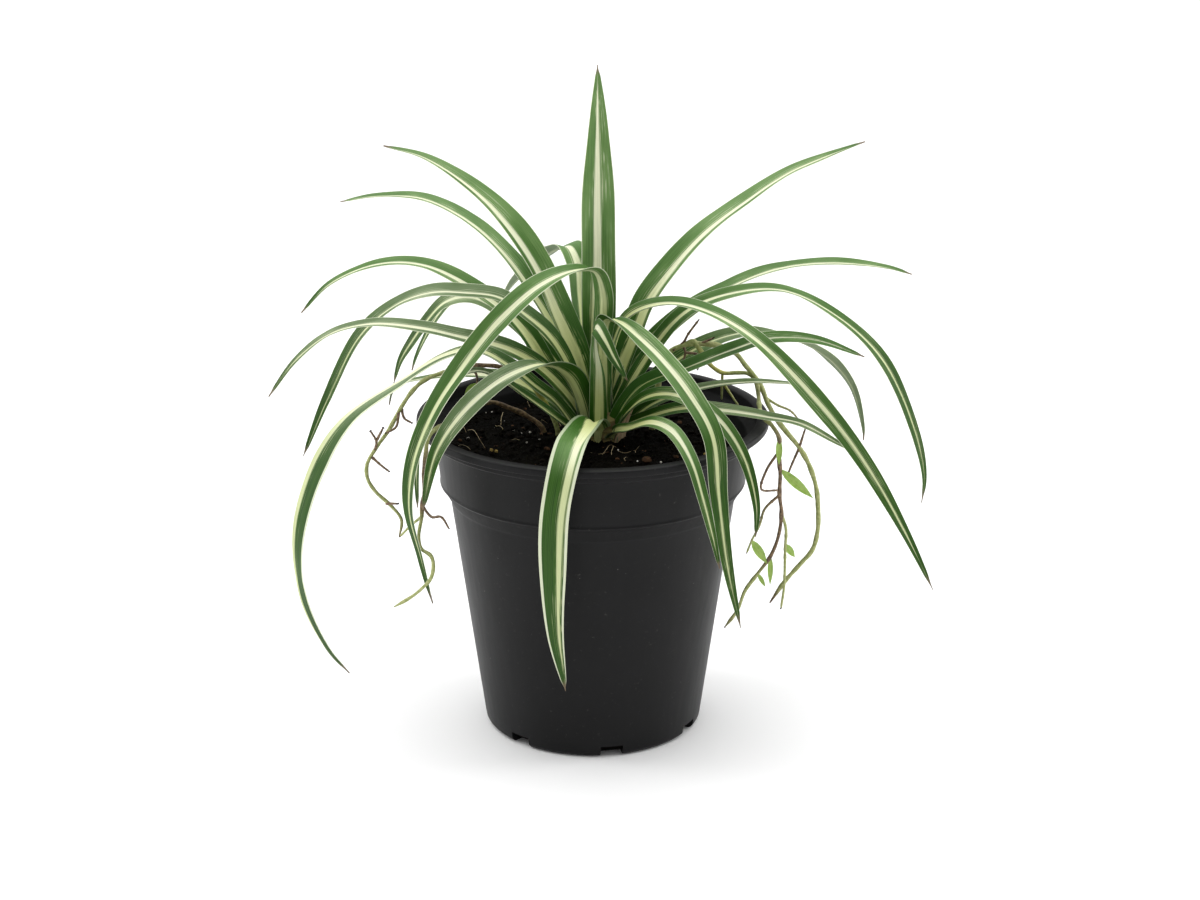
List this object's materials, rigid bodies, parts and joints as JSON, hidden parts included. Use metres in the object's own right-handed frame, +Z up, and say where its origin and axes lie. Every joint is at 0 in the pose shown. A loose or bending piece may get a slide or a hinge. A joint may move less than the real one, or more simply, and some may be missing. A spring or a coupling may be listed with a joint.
{
  "type": "potted spider plant",
  "caption": "Young spider plant with arching striped leaves in a round tapered nursery pot with a stepped collar, with thin woody stems trailing over the rim.",
  "frame": {"origin": "centre of the pot's flat underside", "axes": "+Z up along the pot's axis, +X to the viewer's right in the picture, -Y towards the viewer"},
  "size_m": [0.261, 0.1878, 0.2656],
  "materials": {
    "pot_plastic": "satin charcoal polypropylene",
    "soil": null,
    "crown_leaf": null,
    "leaf": null,
    "stem": "thin bark, brown to olive"
  },
  "bodies": {
    "root": {"pot": "pot_plastic", "soil": "soil", "crown": "crown_leaf", "leaf_left_1": "leaf", "leaf_left_2": "leaf", "leaf_left_3": "leaf", "leaf_left_4": "leaf", "leaf_left_5": "leaf", "leaf_left_6": "leaf", "leaf_left_7": "leaf", "leaf_back_1": "leaf", "leaf_back_2": "leaf", "leaf_back_3": "leaf", "leaf_centre": "leaf", "leaf_fold_left": "leaf", "leaf_front": "leaf", "leaf_front_left_1": "leaf", "leaf_front_left_2": "leaf", "leaf_fold_front": "leaf", "leaf_right_1": "leaf", "leaf_right_2": "leaf", "leaf_right_3": "leaf", "leaf_right_4": "leaf", "leaf_right_5": "leaf", "leaf_right_6": "leaf", "leaf_right_7": "leaf", "leaf_right_8": "leaf", "leaf_fold_right": "leaf", "leaf_front_right_1": "leaf", "leaf_front_right_2": "leaf", "stem_left_outer": "stem", "stem_left_inner": "stem", "stem_right": "stem"}
  },
  "joints": []
}
